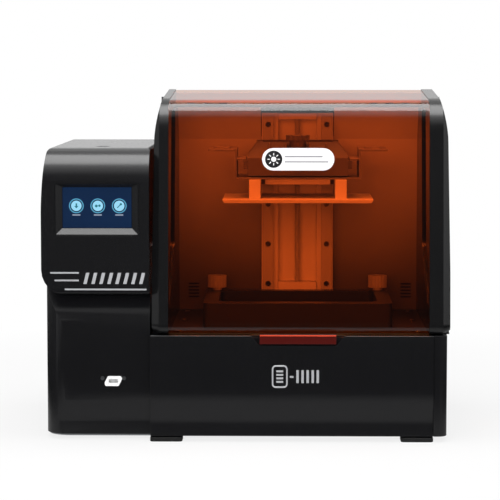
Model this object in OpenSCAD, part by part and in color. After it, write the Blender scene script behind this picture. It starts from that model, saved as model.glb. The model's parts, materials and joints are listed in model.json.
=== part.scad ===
// Desktop resin printer: a control tower on the left, a base with the exposure screen in its deck,
// a Z axis that carries the build platform, a lift-out vat and a flip-up amber cover.
// Millimetres. X runs to the right, Y to the back, Z up. The origin is the middle of the footprint, on the ground.

/* [Overall] */
// Width of the control tower at its head
tower_w = 149; // [140:1:165]
// Width of the cover over its two side frames
cover_w = 413; // [405:1:440]
// Gap between the tower and the cover
tower_gap = 3; // [2:0.5:6]
// Depth of the housing
depth = 365; // [361:1:385]
// Height of the tower's top
tower_top = 407; // [400:1:430]
// Height of the deck's upper face
deck_top = 149; // [147:1:155]
// Height of the feet
foot_h = 6; // [5:0.5:10]

/* [Housing] */
// Wall of the moulded shells
shell_t = 3; // [2.5:0.25:4]
// Thickness of the sheet steel panels
sheet_t = 2; // [1.5:0.25:2.5]
// Play between a fixed piece and the opening it sits in
fit = 0.3; // [0.2:0.05:0.5]
// How far the tower's head stands out over its lower face
head_overhang = 20; // [14:1:26]
// How far the tower's head stands out on its left side
head_side = 2; // [1:0.5:6]
// Height of the head's lower edge
head_z = 205; // [195:1:215]
// Radius of the head's lower left corner
head_r = 35; // [25:1:45]
// Radius of the upright edge left of the tower's lower face
face_roll = 35; // [26:1:42]
// Depth of the roll along the tower's top front edge
roll_d = 50; // [42:1:60]
// Height of the roll along the tower's top front edge
roll_h = 50; // [40:1:53]
// How far the base's front panel sits behind the tower's head
base_setback = 4.5; // [3.5:0.5:8]
// Width of the shell along the base's right side
side_shell_w = 19; // [16:1:24]
// How far that shell sits inside the cover's right face
side_shell_inset = 3.5; // [2:0.5:6]
// Width of a foot
foot_w = 45; // [35:1:55]
// Depth of a foot
foot_d = 30; // [25:1:40]
// Width of the finger notch in the base, at its mouth
notch_w = 133; // [125:1:145]
// Depth of the finger notch
notch_h = 13.5; // [13:0.5:18]

/* [Cover] */
// Width of one side frame
frame_w = 26; // [24:1:30]
// How much the left frame is narrower than that, and the right one wider
frame_shift = 3; // [0:0.5:4]
// How far a side frame's outer face draws in at its top
frame_draw = 13; // [10:0.5:15]
// How far below the top that drawing in begins
frame_draw_h = 56; // [50:1:80]
// How far the outer face leans in below that
frame_taper = 3; // [1:0.5:4]
// Width of the side frame's band around its window
frame_band = 22; // [20:1:28]
// Thickness of the amber panes
pane_t = 3; // [2.5:0.25:4]
// Clearance between the closed cover and the housing
cover_clear = 1.5; // [1:0.25:2.5]
// Height of the bend between the front and the top
bend_z = 473; // [465:1:480]
// Radius of that bend
bend_r = 50; // [45:1:60]
// Radius of the panes' own bend, which stands proud of the frames'
pane_bend_r = 34; // [30:1:44]
// How far the bend lies behind the cover's lower front edge
cover_rake = 30; // [24:1:36]
// Rise of the cover's top from the bend to its rear edge
top_rise = 13; // [8:1:16]
// Y of the cover's rear edge
cover_rear_y = 66; // [60:1:70]
// Y of the side frame's knee
knee_y = 24; // [16:1:30]
// Height of the side frame's knee
knee_z = 246; // [236:1:256]
// Radius of the hinge barrels
barrel_r = 6; // [5:0.25:7]
// Radius of the hinge pins
hinge_pin_r = 2.5; // [2:0.25:3]
// Running clearance of the pins and shafts
run = 0.05; // [0.02:0.01:0.08]
// Width of the finger tab
tab_w = 106; // [96:1:108]
// Width of the blank label
label_w = 100; // [80:1:110]
// Height of the blank label
label_h = 31; // [26:1:34]

/* [Screen and controls] */
// Width of the screen's recess
recess_w = 115.5; // [112:0.5:122]
// Height of the screen's recess
recess_h = 72; // [69:0.5:78]
// Width of the display
display_w = 95; // [90:0.5:98]
// Height of the display
display_h = 56; // [52:0.5:58]
// Radius of the power button
button_r = 9; // [7:0.5:10]
// Travel of the power button
button_travel = 1.5; // [1:0.1:2]
// Distance between the data port's two screws
port_pitch = 30; // [28:0.5:34]

/* [Z axis] */
// How far the print's middle sits left of the cover's
print_shift = 4; // [0:0.5:6]
// Width of the column
column_w = 108; // [106:1:116]
// Depth of the column
column_d = 22; // [20:0.5:26]
// Height of the column's top
column_top = 449; // [442:1:452]
// Distance between the two guide rails
rail_pitch = 88; // [86:0.5:92]
// Width of a guide rail
rail_w = 16; // [14:0.5:18]
// Height of a guide rail above the column
rail_h = 10; // [9:0.5:12]
// Distance between rail bolts
bolt_pitch = 60; // [50:1:70]
// Radius of the lead screw
screw_r = 4; // [3.5:0.25:5]
// Lead of the lead screw
screw_lead = 4; // [2:1:5]
// Width of the build platform
platform_w = 215; // [200:1:222]
// Depth of the build platform
platform_d = 132; // [120:1:134]
// Thickness of the build platform
platform_t = 6; // [5:0.5:8]
// Height of the platform's underside
platform_z = 325; // [320:1:330]
// Height of the posts over the platform
post_h = 27; // [25:0.5:31]
// Width of a post
post_w = 16.4; // [12:0.2:18]

/* [Vat and exposure] */
// Width of the vat
vat_w = 269; // [262:1:274]
// Depth of the vat
vat_d = 190; // [180:1:194]
// Height of the vat
vat_h = 36; // [30:1:40]
// Width of the vat's basin
basin_w = 227; // [224:1:230]
// Depth of the vat's basin
basin_d = 146; // [140:1:150]
// Radius of the vat's clamping knobs
knob_r = 14; // [11:0.5:15]
// Height of the vat's clamping knobs
knob_h = 18; // [14:0.5:20]
// Height of the collar under a clamping knob
collar_h = 4.5; // [2:0.5:6]
// Width of the exposure screen
lcd_w = 232; // [228:1:240]
// Depth of the exposure screen
lcd_d = 142; // [138:1:150]
// Outer size of the fans
fan_w = 80; // [70:1:84]

/* [Hidden] */
$fn = 48;

// Colours
black = [0.09, 0.09, 0.1];
dark = [0.16, 0.16, 0.17];
steel = [0.62, 0.62, 0.64];
alu = [0.78, 0.78, 0.8];
amber = [0.85, 0.33, 0.12, 0.45];
white = [0.93, 0.93, 0.93];
green = [0.1, 0.35, 0.2];

// Datum planes of the housing
x_left = -(tower_w + tower_gap + cover_w) / 2;
x_tower = x_left + tower_w;
x_cover = x_tower + tower_gap;
x_right = -x_left;
cover_mid = (x_cover + x_right) / 2;
print_x = cover_mid - print_shift;
x_lower = x_left + head_side;
x_side = x_right - side_shell_inset;
x_front_end = x_side - side_shell_w;
y_front = -depth / 2;
y_back = depth / 2;
y_face = y_front + head_overhang;
y_panel = y_front + base_setback;
y_sheet = y_back - sheet_t;
pan_top = foot_h + sheet_t;
deck_t = 3;
deck_bottom = deck_top - deck_t;
chamber_x = [x_cover + frame_w - frame_shift, x_right - frame_w - frame_shift];
wall_y = y_sheet - 33;
screw_y = wall_y - column_d + 5;
roof_back_z = 458;

// Side outlines as [y, z, corner radius], anticlockwise
cover_z = deck_top + 1;
cover_pts = [
    [y_front + 0.5, cover_z, 14],
    [y_front + 24.5, cover_z, 4],
    [knee_y, knee_z, 20],
    [cover_rear_y, bend_z + top_rise, 6],
    [y_front + 0.5 + cover_rake, bend_z, bend_r]];
hinge = [cover_rear_y + barrel_r + 1, bend_z + top_rise - 12];
hinge_relief = 13;
roof_front = [hinge[0] + hinge_relief - 1, hinge[1]];
roof_slope = atan2(roof_front[1] - roof_back_z, y_back - roof_front[0]);

function xy(p) = [p[0], p[1]];
function unit(v) = v / norm(v);
function left_of(p, q) = let (e = unit(xy(q) - xy(p))) [-e[1], e[0]];
function turned(v, a) = [v[0] * cos(a) - v[1] * sin(a), v[0] * sin(a) + v[1] * cos(a)];

// The outline pulled in by d, its corner radii with it
function inset(pts, d) = let (n = len(pts)) [
    for (i = [0:n - 1])
        let (a = left_of(pts[(i + n - 1) % n], pts[i]), b = left_of(pts[i], pts[(i + 1) % n]))
        let (m = (a + b) * d / (1 + a * b))
        [pts[i][0] + m[0], pts[i][1] + m[1], pts[i][2] > 0 ? max(pts[i][2] - d, 0.5) : 0]];

// The arc that rounds corner q between p and n
function arc(p, q, n, r, k) =
    let (e = unit(xy(q) - xy(p)), f = unit(xy(n) - xy(q)))
    let (a = atan2(e[0] * f[1] - e[1] * f[0], e * f), s = sign(a))
    let (start = xy(q) - e * r * tan(abs(a) / 2), c = start + [-e[1], e[0]] * r * s)
    [for (i = [0:k]) c + turned(start - c, a * i / k)];

function rounded(pts, k = 8) = let (n = len(pts)) [
    for (i = [0:n - 1])
        each (pts[i][2] > 0 ? arc(pts[(i + n - 1) % n], pts[i], pts[(i + 1) % n], pts[i][2], k) : [xy(pts[i])])];

// Spans are [low, high]
function about(c, w) = [c - w / 2, c + w / 2];

module box(x, y, z) {
    translate([x[0], y[0], z[0]]) cube([x[1] - x[0], y[1] - y[0], z[1] - z[0]]);
}

// An outline in Y and Z, run along X
module along_x(x) {
    translate([x[0], 0, 0]) rotate([90, 0, 90]) linear_extrude(x[1] - x[0]) children();
}

// An outline in X and Z, run along Y
module along_y(y) {
    translate([0, y[1], 0]) rotate([90, 0, 0]) linear_extrude(y[1] - y[0]) children();
}

module rounded_rect(w, h, r) {
    polygon(rounded([[-w / 2, -h / 2, r], [w / 2, -h / 2, r], [w / 2, h / 2, r], [-w / 2, h / 2, r]], 6));
}

module rod_x(x, y, z, r) {
    translate([x[0], y, z]) rotate([0, 90, 0]) cylinder(r = r, h = x[1] - x[0]);
}

module rod_y(x, y, z, r) {
    translate([x, y[0], z]) rotate([-90, 0, 0]) cylinder(r = r, h = y[1] - y[0]);
}

module rod_z(x, y, z, r) {
    translate([x, y, z[0]]) cylinder(r = r, h = z[1] - z[0]);
}

// ---- Base ----

module base_pan() {
    color(steel) difference() {
        linear_extrude_between([foot_h, pan_top]) polygon(rounded([
            [x_lower + shell_t, y_face + shell_t, face_roll - shell_t], [x_side - shell_t, y_face + shell_t, 0],
            [x_side - shell_t, y_sheet, 0], [x_lower + shell_t, y_sheet, 0]]));
        rod_z(print_x, 0, [foot_h - 1, pan_top + 1], fan_w * 0.45);
    }
}

// Outer face of the base: upright, drawn in above the foot, then flared out
function skirt(d) = rounded([
    [y_panel + d, deck_top - d, 2], [y_panel + d, pan_top + 54, 130], [y_panel + 5 + d, pan_top + 21, 50],
    [y_panel + 2.5 + d, pan_top, 0], [y_panel + 16, pan_top, 0], [y_panel + 16, deck_top - d, 0]]);

module front_notch(grow = 0) {
    w = notch_w / 2 + grow;
    along_y([y_panel - 10, y_panel + shell_t + 6 + grow])
        polygon([[print_x - w, deck_top + 1], [print_x - w + notch_h, deck_top - notch_h - grow],
            [print_x + w - notch_h, deck_top - notch_h - grow], [print_x + w, deck_top + 1]]);
}

// The front shell is open behind, with a pocket behind the notch
module base_front_panel() {
    w = notch_w / 2;
    color(black) {
        difference() {
            along_x([x_tower + 0.5, x_front_end]) polygon(skirt(0));
            translate([0, 0, -shell_t]) along_x([x_tower + 0.5 + shell_t, x_front_end - shell_t])
                polygon([[y_panel + 8.5, pan_top], [y_panel + 17, pan_top], [y_panel + 17, deck_top],
                    [y_panel + shell_t, deck_top], [y_panel + shell_t, deck_top - 40], [y_panel + 8.5, deck_top - 90]]);
            front_notch();
        }
        box([print_x - w - 1, print_x + w + 1], [y_panel + shell_t + 6, y_panel + 2 * shell_t + 6],
            [deck_top - notch_h - shell_t, deck_top - shell_t - 0.01]);
    }
}

module base_right_panel() {
    color(black) difference() {
        linear_extrude_between([pan_top, deck_top]) polygon(rounded([
            [x_front_end, y_panel + 1.5, 0], [x_side, y_panel + 1.5, 13], [x_side, y_sheet, 0],
            [x_front_end, y_sheet, 0]]));
        box([x_front_end - 1, x_side - shell_t], [y_panel + 14, y_sheet + 1], [pan_top - 1, deck_top - shell_t]);
    }
}

module linear_extrude_between(z) {
    translate([0, 0, z[0]]) linear_extrude(z[1] - z[0]) children();
}

module feet() {
    color(dark) for (x = [x_tower + foot_w / 2, x_front_end - foot_w / 2], y = [y_panel + foot_d / 2 + 2, y_back - 30])
        translate([x, y, 0]) linear_extrude(foot_h) rounded_rect(foot_w, foot_d, 5);
}

lcd_seat = 2;
vat_knob_x = basin_w / 2 + 6.5;
vat_knob_y = vat_d / 2 - 10;

module deck_plate() {
    color(dark) difference() {
        box([x_tower + 0.5 + shell_t, x_front_end], [y_panel + 16, y_sheet], [deck_bottom, deck_top]);
        front_notch(2 * shell_t);
        box(about(print_x, lcd_w + 2 * fit), about(0, lcd_d + 2 * fit), [deck_top - lcd_seat, deck_top + 1]);
        box(about(print_x, lcd_w - 10), about(0, lcd_d - 10), [deck_bottom - 1, deck_top + 1]);
        rod_z(print_x, screw_y, [deck_bottom - 1, deck_top + 1], 11.5);
        for (s = [-1, 1]) rod_z(print_x + s * vat_knob_x, vat_knob_y, [deck_bottom - 1, deck_top + 1], 3 + fit);
    }
}

// Button-head screws in the deck and down the guide rails
module socket_screws() {
    color(steel) {
        for (x = [chamber_x[0] + 14, chamber_x[1] - 14], y = [y_panel + 40, 0, 110]) screw_head(x, y);
        for (s = [-1, 1], z = rail_bolts)
            difference() {
                rod_y(print_x + s * rail_pitch / 2, [rail_y - 2.5, rail_y], z, 4);
                rod_y(print_x + s * rail_pitch / 2, [rail_y - 3, rail_y - 1], z, 2);
            }
    }
}

module screw_head(x, y) {
    difference() {
        rod_z(x, y, [deck_top, deck_top + 2.2], 3.8);
        rod_z(x, y, [deck_top + 0.8, deck_top + 3], 1.5);
    }
}

// ---- Back ----

inlet = [-200, 60];
exhaust = [cover_mid + 108, 300];

module rear_panel() {
    color(dark) difference() {
        along_y([y_sheet, y_back]) polygon([
            [x_lower + shell_t, pan_top], [x_side, pan_top], [x_side, deck_top], [x_right - 0.5, deck_top],
            [x_right - 0.5, roof_back_z - 1], [x_cover + 0.5, roof_back_z - 1], [x_cover + 0.5, tower_top - 1],
            [x_left + roof_inset, tower_top - 1], [x_left + 5.5, tower_top - 12], [x_left + shell_t, head_z + 1], [x_lower + shell_t, head_z + 1]]);
        box(about(inlet[0], 27 + 2 * fit), [y_sheet - 1, y_back + 1], about(inlet[1], 20 + 2 * fit));
        box(about(inlet[0] + 34, 13 + 2 * fit), [y_sheet - 1, y_back + 1], about(inlet[1], 19 + 2 * fit));
        for (i = [-5:5])
            let (h = 2 * sqrt(pow(fan_w * 0.45, 2) - pow(i * 6.4, 2)))
            box(about(exhaust[0] + i * 6.4, 4), [y_sheet - 1, y_back + 1], about(exhaust[1], h));
    }
}
roof_inset = 12;

// Housing behind the cover: its side outline, less the closed cover and the hinge's swing
module housing_side(d = 0) {
    difference() {
        polygon(rounded(inset([[y_front + 10, deck_top, 0], [y_sheet, deck_top, 0], [y_sheet, roof_back_z + sheet_t * tan(roof_slope), 0],
            [roof_front[0], roof_front[1], 0], [hinge[0] - 30, roof_front[1], 0]], d)));
        polygon(rounded(inset(cover_pts, -cover_clear - d)));
        polygon([[y_front - 9, deck_top - 9], [y_front + 20 + d, deck_top - 9], [cover_pts[3][0] + 2 + d, 600], [y_front - 9, 600]]);
        translate(hinge) circle(r = hinge_relief + d);
    }
}

module cheek(x, open) {
    color(black) difference() {
        along_x(x) housing_side();
        along_x(open) housing_side(shell_t);
    }
}

module cheek_left() {
    cheek([x_cover, chamber_x[0]], [x_cover + shell_t, chamber_x[0] - shell_t]);
}

module cheek_right() {
    cheek([chamber_x[1], x_right], [chamber_x[1] + shell_t, x_right - shell_t]);
}

// The roof's front edge runs down into a gutter that closes the slit under the hinge
gutter_t = 2.5;
gutter_end = -128;
module rear_roof() {
    t = shell_t / cos(roof_slope);
    z_end = roof_back_z + sheet_t * tan(roof_slope);
    color(black) difference() {
        along_x(chamber_x) union() {
            polygon([[roof_front[0], roof_front[1]], [roof_front[0], roof_front[1] - t], [y_sheet, z_end - t], [y_sheet, z_end]]);
            translate(hinge) difference() {
                circle(r = hinge_relief + gutter_t);
                circle(r = hinge_relief);
                polygon([[0, 0], 40 * [cos(gutter_end), sin(gutter_end)], [-60, 0], [0, 60], [60, 0], [40, -40 * tan(roof_slope)]]);
            }
        }
        for (x = leaf_x) translate([x - leaf_l / 2 - 1, hinge[0], hinge[1]]) rotate([-roof_slope, 0, 0])
            translate([0, 0, roof_drop - 2.5 - fit]) cube([leaf_l + 2, hinge_relief + 30, 2.5 + fit]);
    }
}

// Back wall of the print chamber, folded forward at its top to meet the roof
fold_z = 410;
module chamber_back_wall() {
    t = shell_t / cos(roof_slope);
    under = roof_front[1] - t - (hinge[0] + 38 - roof_front[0]) * tan(roof_slope);
    color(dark) difference() {
        along_x(chamber_x) polygon([[wall_y, deck_top], [wall_y + sheet_t, deck_top], [wall_y + sheet_t, fold_z],
            [hinge[0] + 38, under], [hinge[0] + 35.5, under], [wall_y, fold_z - 1]]);
        box(about(print_x, column_w + 2), [column_y[0] - 30, wall_y - 0.5], [fold_z - 8, roof_front[1]]);
        box(about(print_x, column_w + 2), [column_y[0] - 30, wall_y + 0.01], [fold_z - 1, roof_front[1]]);
        for (s = [-1, 1], i = [0:4])
            box(about(cover_mid + s * (chamber_x[1] - cover_mid - 16), 16), [wall_y - 1, wall_y + 9],
                [deck_top + 18 + i * 5, deck_top + 20.5 + i * 5]);
    }
}

// ---- Control tower ----

// Edge curves as quarter ellipses, from the upright to the level side
side_draw = 6.5;
function head_side_pts() = concat(
    [[y_front + 9, head_z, 0], [y_sheet, head_z, 0], [y_sheet, tower_top, 0]],
    [for (i = [12:-1:0]) [y_front + roll_d * (1 - cos(i * 7.5)), tower_top - roll_h * (1 - sin(i * 7.5)), 0]],
    [[y_front, head_z + 9, 0], [y_front + 2.6, head_z + 2.6, 0]]);

function head_front_pts() = concat(
    [for (i = [0:6]) [x_left + head_r * (1 - cos(i * 15)), head_z + head_r * (1 - sin(i * 15)), 0]],
    [[x_tower, head_z, 0], [x_tower, tower_top - 3, 0], [x_tower - 3, tower_top, 0]],
    [[x_left + side_draw, tower_top, 7]],
    [for (i = [1:8]) [x_left + side_draw * pow(1 - i / 8, 1.6), tower_top - i * 11, 0]]);

module tower_body(d) {
    intersection() {
        along_x([x_left - 1, x_tower + 1]) polygon(rounded(inset(head_side_pts(), d)));
        along_y([y_front - 1, y_back + 1]) polygon(rounded(inset(head_front_pts(), d)));
    }
    // Lower body: a cushioned face between its rolled left edge and the base
    intersection() {
        along_x([x_lower + d, x_tower - d]) polygon(rounded(inset(
            [[y_face + 2.5, pan_top, 0], [y_back, pan_top, 0], [y_back, head_z + 35, 0], [y_face + 35, head_z + 35, 0],
                [y_face, head_z - 38, 90], [y_face, pan_top + 54, 130], [y_face + 4, pan_top + 21, 50]], d)));
        linear_extrude_between([pan_top - 1, head_z + 40]) polygon(rounded(inset(
            [[x_lower, y_face, face_roll], [x_tower + 1, y_face, 0], [x_tower + 1, y_sheet + d, 0], [x_lower, y_sheet + d, 0]], d)));
    }
}

recess = [x_tower - 14 - recess_w / 2, 324];
button_at = [-203.5, -88];
port = [-185, 83];

module tower_shell() {
    color(black) difference() {
        tower_body(0);
        tower_body(shell_t);
        box([x_lower + shell_t, x_tower - shell_t], [y_face + face_roll + 1, y_back + 1], [pan_top - 1, head_z + 20]);
        box([x_left + roof_inset, x_tower - shell_t], [y_sheet - shell_t - 1, y_back + 1], [head_z + shell_t, tower_top - 12]);
        along_y([y_front - 1, y_front + 30]) translate(recess) rounded_rect(recess_w + 2 * fit, recess_h + 2 * fit, 5);
        rod_z(button_at[0], button_at[1], [tower_top - 20, tower_top + 1], button_r + 2 + fit);
        box(about(port[0], 15 + 2 * fit), [y_face - 9, y_face + 9], about(port[1], 8 + 2 * fit));
    }
}

recess_depth = 9;
display_z = recess[1] + 2;
module screen_bezel() {
    color(black) difference() {
        along_y([y_front + 0.5, y_front + recess_depth]) translate(recess) rounded_rect(recess_w, recess_h, 5);
        // Walls sloping in to the display
        hull() {
            box(about(recess[0], recess_w - 2.5), [y_front + 0.3, y_front + 0.5], about(recess[1], recess_h - 2.5));
            box(about(recess[0], display_w + 1.5), [y_front + recess_depth - 2.2, y_front + recess_depth - 2],
                about(display_z, display_h + 1.5));
        }
        box(about(recess[0], display_w + 2 * fit), [y_front + 1, y_front + 20], about(display_z, display_h + 2 * fit));
    }
}

module touch_screen() {
    color([0.03, 0.14, 0.27]) {
        box(about(recess[0], display_w), [y_front + recess_depth - 2, y_front + recess_depth], about(display_z, display_h));
        box(about(recess[0], recess_w - 4), [y_front + recess_depth, y_front + recess_depth + 4], about(recess[1], recess_h - 4));
    }
}

module button_ring() {
    color(dark) difference() {
        rod_z(button_at[0], button_at[1], [tower_top - 16, tower_top], button_r + 2);
        rod_z(button_at[0], button_at[1], [tower_top - 14, tower_top + 1], button_r + 0.3);
    }
}

module power_button() {
    color(dark) rod_z(button_at[0], button_at[1], [tower_top - 14 + button_travel + 0.2, tower_top - 4], button_r);
}

module usb_port() {
    color(white) difference() {
        union() {
            along_y([y_face - 1.2, y_face]) translate(port) polygon(rounded([[-11, -7, 2], [7.5, -7, 2], [12.5, 3.5, 2],
                [10.5, 7, 2], [-7.5, 7, 2], [-12.3, -2.5, 2]], 5));
            box(about(port[0], 15), [y_face, y_face + 18], about(port[1], 8));
        }
        box(about(port[0], 12.6), [y_face - 2, y_face + 14], about(port[1], 5.4));
    }
}

module usb_port_screws() {
    color(steel) for (s = [-1, 1]) difference() {
        rod_y(port[0] + s * port_pitch / 2, [y_face - 1.5, y_face], port[1] + 4, 2.7);
        box(about(port[0] + s * port_pitch / 2, 3.6), [y_face - 2, y_face - 0.8], about(port[1] + 4, 0.8));
        box(about(port[0] + s * port_pitch / 2, 0.8), [y_face - 2, y_face - 0.8], about(port[1] + 4, 3.6));
    }
}

// Controller on the tower's inner wall: board, heat-sunk driver, connectors
module control_board() {
    x = x_tower - shell_t;
    color(green) {
        for (y = [-60, 60], z = [235, 345]) rod_x([x - 6, x], y, z, 3);
        box([x - 7.6, x - 6], [-70, 70], [225, 355]);
        box([x - 15, x - 7.6], [-20, 5], [280, 305]);
        for (i = [0:4]) box([x - 19, x - 7.6], [-62 + i * 26, -46 + i * 26], [228, 238]);
    }
}

module power_supply() {
    color(steel) difference() {
        box([x_lower + shell_t + 20, x_lower + shell_t + 118], [-110, 90], [pan_top, pan_top + 42]);
        for (i = [0:11]) box([x_lower + shell_t + 30, x_lower + shell_t + 108], [-90 + i * 12, -84 + i * 12], [pan_top + 40, pan_top + 43]);
    }
}

module power_inlet() {
    color(black) difference() {
        union() {
            box(about(inlet[0], 27), [y_sheet - 16, y_sheet + sheet_t], about(inlet[1], 20));
            box(about(inlet[0], 31), [y_sheet - 3, y_sheet], about(inlet[1], 26));
        }
        box(about(inlet[0], 22), [y_sheet - 12, y_back + 1], about(inlet[1], 15));
    }
    color(steel) for (p = [[-6, -2], [0, 3], [6, -2]])
        box(about(inlet[0] + p[0], 2), [y_sheet - 12, y_sheet - 5], about(inlet[1] + p[1], 4));
}

// Two-faced rocker that tilts about a level axis inside its opening
rocker_axis = [y_back - 9, inlet[1]];
module rocker_switch() {
    color(dark) along_x(about(inlet[0] + 34, 13 - 2 * fit)) translate(rocker_axis)
        polygon([[-2, -8.6], [5, -8.6], [6.2, -7.4], [5, 0], [8, 7.4], [7, 8.4], [-2, 8.4]]);
    color(steel) rod_x(about(inlet[0] + 34, 13 - 2 * fit), rocker_axis[0] - 3, rocker_axis[1], 2);
}

// ---- Z axis ----

column_y = [wall_y - column_d, wall_y];
rail_y = column_y[0] - rail_h;
rail_bolts = [for (z = [deck_top + 43 : bolt_pitch : column_top - 12]) z];
channel_w = 58;

// Extruded column with a channel down its middle for the lead screw
module column() {
    color(alu) difference() {
        box(about(print_x, column_w), column_y, [deck_top, column_top]);
        box(about(print_x, channel_w), [column_y[0] - 1, column_y[1] - 5], [deck_top - 1, column_top + 1]);
        for (s = [-1, 1]) box(about(print_x + s * (channel_w / 2 + column_w / 2) / 2, 6), [column_y[1] - 8, column_y[1] + 1], [deck_top - 1, column_top + 1]);
    }
}

module guide_rails() {
    color(alu) for (s = [-1, 1]) difference() {
        box(about(print_x + s * rail_pitch / 2, rail_w), [rail_y, column_y[0]], [deck_top + 2, column_top - 4]);
        for (e = [-1, 1]) translate([print_x + s * rail_pitch / 2 + e * rail_w / 2, (rail_y + column_y[0]) / 2, deck_top])
            cylinder(r = 1.6, h = column_top - deck_top);
    }
}

module bearing_blocks() {
    color(dark) for (z = [[deck_top + 33, deck_top + 45], [column_top - 9.5, column_top - 0.5]]) difference() {
        box(about(print_x, channel_w - 2 * fit), [screw_y - 13, column_y[1] - 5], z);
        rod_z(print_x, screw_y, [z[0] - 1, z[1] + 1], screw_r + run);
    }
}

module z_motor() {
    color(dark) difference() {
        box(about(print_x, 42.3), about(screw_y, 42.3), [deck_bottom - 46, deck_bottom]);
        for (a = [-1, 1], b = [-1, 1]) translate([print_x + a * 21.2, screw_y + b * 21.2, deck_bottom - 47])
            rotate([0, 0, 45]) cube([8, 8, 120], center = true);
        rod_z(print_x, screw_y, [deck_bottom - 20, deck_bottom + 1], 2.5 + run);
    }
}

groove = 1.2;
module lead_screw() {
    color(steel) translate([print_x, screw_y, 0]) difference() {
        translate([0, 0, deck_top + 23]) cylinder(r = screw_r, h = column_top - 3 - deck_top - 23);
        for (z = [deck_top + 50 : 2 * screw_lead : column_top - 20]) translate([0, 0, z])
            rotate_extrude() polygon([[screw_r + 1, -groove - 0.6], [screw_r + 1, groove + 0.6], [screw_r - 0.6, 0.3], [screw_r - 0.6, -0.3]]);
    }
}

module shaft_coupling() {
    color(alu) difference() {
        rod_z(print_x, screw_y, [deck_top + 3, deck_top + 31], 9.5);
        rod_z(print_x, screw_y, [deck_top + 23, deck_top + 32], screw_r);
        for (z = [deck_top + 14, deck_top + 18]) box([print_x - 10, print_x + 6], about(screw_y, 20), [z, z + 0.8]);
    }
    color(steel) rod_z(print_x, screw_y, [deck_bottom - 19, deck_top + 3], 2.5);
}

// ---- Carriage and build platform ----

carriage_z = [platform_z + 18, platform_z + 84];
plate_y = [rail_y - 12, rail_y - 5];
web_z = platform_z + platform_t + post_h;
arm_w = 144;
arm_z = [web_z + 5, carriage_z[1]];
bracket_in = 175;
hook_z = web_z + 26.5;

module guide_blocks() {
    color(steel) for (s = [-1, 1]) difference() {
        box(about(print_x + s * rail_pitch / 2, rail_w + 14), [plate_y[1], column_y[0] - 2], [carriage_z[0] + 4, carriage_z[1] - 4]);
        box(about(print_x + s * rail_pitch / 2, rail_w + 2 * fit), [rail_y - 3, column_y[0] + 1], carriage_z);
    }
}

module carriage_plate() {
    color(dark) difference() {
        box(about(print_x, column_w + 14), plate_y, carriage_z);
        for (s = [-1, 1], z = [carriage_z[0] + 14, carriage_z[1] - 14], e = [-9, 9])
            rod_y(print_x + s * rail_pitch / 2 + e, [plate_y[0] - 1, plate_y[0] + 3], z, 2.6);
    }
}

module screw_nut() {
    color([0.7, 0.55, 0.3]) difference() {
        union() {
            box(about(print_x, 30), [plate_y[1], screw_y], about(carriage_z[0] + 45, 26));
            rod_z(print_x, screw_y, about(carriage_z[0] + 45, 26), 11);
        }
        rod_z(print_x, screw_y, [carriage_z[0], carriage_z[1]], screw_r + run);
    }
}

// The arm seen from the front, its sides sloping in towards its top, pulled in by d
module arm_front(d) {
    side = [[0, arm_z[0] - 2], [0, arm_z[0] + 29], [9, arm_z[1] - 5], [14, arm_z[1] + 2]];
    along_y([-48, plate_y[0] + 2]) translate([print_x, 0]) polygon(concat(
        [for (p = side) [arm_w / 2 - d - p[0], p[1]]], [for (i = [3:-1:0]) [side[i][0] + d - arm_w / 2, side[i][1]]]));
}

// Boxed arm with ribs on its slope; its side rails carry the platform's bracket
module support_arm() {
    color(dark) {
        difference() {
            intersection() {
                along_x(about(print_x, arm_w + 2)) polygon([[plate_y[0], arm_z[0]], [plate_y[0], arm_z[1]], [20, arm_z[1]],
                    [-46, arm_z[0] + 26], [-46, arm_z[0]]]);
                arm_front(0);
            }
            intersection() {
                along_x(about(print_x, arm_w)) polygon([[plate_y[0] - 6, arm_z[0] + 6], [plate_y[0] - 6, arm_z[1] + 1], [28, arm_z[1] + 1],
                    [30, arm_z[1] - 8], [-38, arm_z[0] + 18], [-38, arm_z[0] + 6]]);
                arm_front(8);
            }
            rod_z(print_x, 0, [arm_z[0] - 1, arm_z[1] + 1], 5);
        }
        for (x = [-41, -17, 17, 41]) along_x(about(print_x + x, 2.5))
            polygon([[-24, arm_z[0] + 27], [-18, arm_z[1] - 0.5], [19, arm_z[1] - 0.5], [19, arm_z[0] + 27]]);
        for (s = [-1, 1]) box(about(print_x + s * (arm_w / 2 - 2), 16), [-40, 40], [hook_z - 12, hook_z]);
        difference() {
            rod_z(print_x, 0, [arm_z[0] + 6, arm_z[1] + 3], 12);
            rod_z(print_x, 0, [arm_z[0] - 1, arm_z[1] + 4], 5);
        }
    }
}

// Folded sheet: web, two walls with hooks over the arm's rails, and slotted grip flanges
module platform_bracket() {
    t = 2.5;
    color(dark) {
        box(about(print_x, bracket_in + 2 * t), about(0, 96), [web_z, web_z + t]);
        for (s = [-1, 1]) {
            box(about(print_x + s * (bracket_in + t) / 2, t), about(0, 96), [web_z + t, hook_z + 14]);
            box(about(print_x + s * (bracket_in / 2 - 6.5), 13), about(0, 80), [hook_z + 0.3, hook_z + 3.3]);
            difference() {
                box(about(print_x + s * (bracket_in / 2 + 20.5), 41), about(0, 96), [hook_z + 14, hook_z + 17]);
                for (y = [-22, 22]) translate([print_x + s * (bracket_in / 2 + 21.5), y, hook_z + 13])
                    linear_extrude(6) rounded_rect(26, 30, 6);
            }
        }
    }
}

// Two flat posts and the pad the clamping knob bears on
module platform_posts() {
    color(alu) {
        for (s = [-1, 1]) box(about(print_x + s * 61.5, post_w), [-60, 48], [platform_z + platform_t, web_z]);
        box(about(print_x, 94), [-14, 14], [web_z - 9, web_z]);
    }
}

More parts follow.
